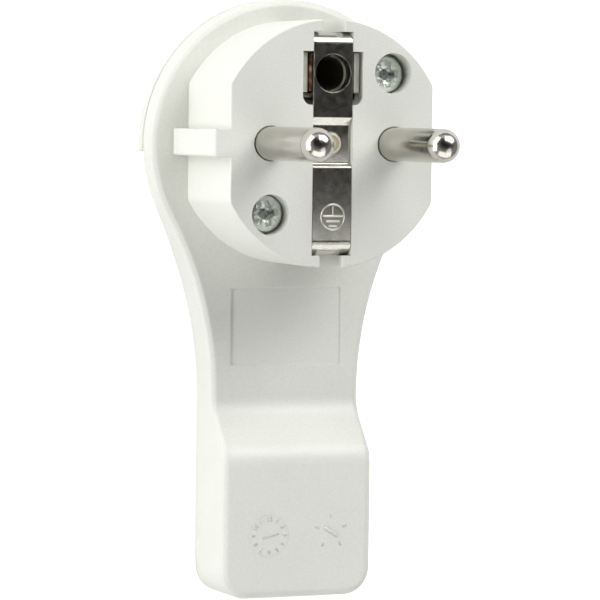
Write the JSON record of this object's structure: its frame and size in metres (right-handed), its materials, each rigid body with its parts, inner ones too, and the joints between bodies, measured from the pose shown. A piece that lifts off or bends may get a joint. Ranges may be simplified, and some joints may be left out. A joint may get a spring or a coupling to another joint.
{
  "type": "type f plug",
  "caption": "Flat earthed mains plug with round line pins, a round boss with earth contacts and a long paddle handle.",
  "frame": {"origin": "midway between the two line pins, on the boss's engagement face", "axes": "+Z out of the engagement face along the pins, +Y towards the round head's far edge and the earth socket, so the handle and the cord inlet point to -Y, +X from the left pin to the right pin as seen from the front with the handle down. The plug lies on its flat back, pins up."},
  "size_m": [0.0428, 0.0872, 0.0418],
  "materials": {
    "white_plastic": "fine moulded texture, slightly warm white",
    "carrier_plastic": "smooth moulded, slightly warm white",
    "cream_plastic": "cream insulating plastic",
    "nickel_pin": "turned brass, satin nickel plate, polished tip",
    "nickel_sheet": "folded sheet, nickel plate, faint rolling lines",
    "spring_steel": "bright spring steel",
    "bronze_sheet": "phosphor bronze, bare",
    "brass": "turned and drawn brass",
    "zinc_steel": "zinc plated steel",
    "zinc_screw": "zinc plated steel, pale passivated, domed head"
  },
  "bodies": {
    "root": {"housing": "white_plastic", "back_cover": "white_plastic", "pin_carrier": "carrier_plastic", "earth_strip": "nickel_sheet", "pin_bridge": "cream_plastic", "earth_socket": "bronze_sheet", "contact_spring": "spring_steel", "earth_clamp": "zinc_steel", "cord_clamp": "zinc_steel", "earth_terminal_screw": "zinc_steel", "line_pin_left": "nickel_pin", "line_pin_right": "nickel_pin", "line_terminal_left": "brass", "line_terminal_right": "brass", "terminal_screw_left": "zinc_steel", "terminal_screw_right": "zinc_steel", "clamp_screw_left": "zinc_steel", "clamp_screw_right": "zinc_steel", "case_screw_upper": "zinc_screw", "case_screw_lower": "zinc_screw", "case_insert_upper": "brass", "case_insert_lower": "brass"}
  },
  "joints": []
}
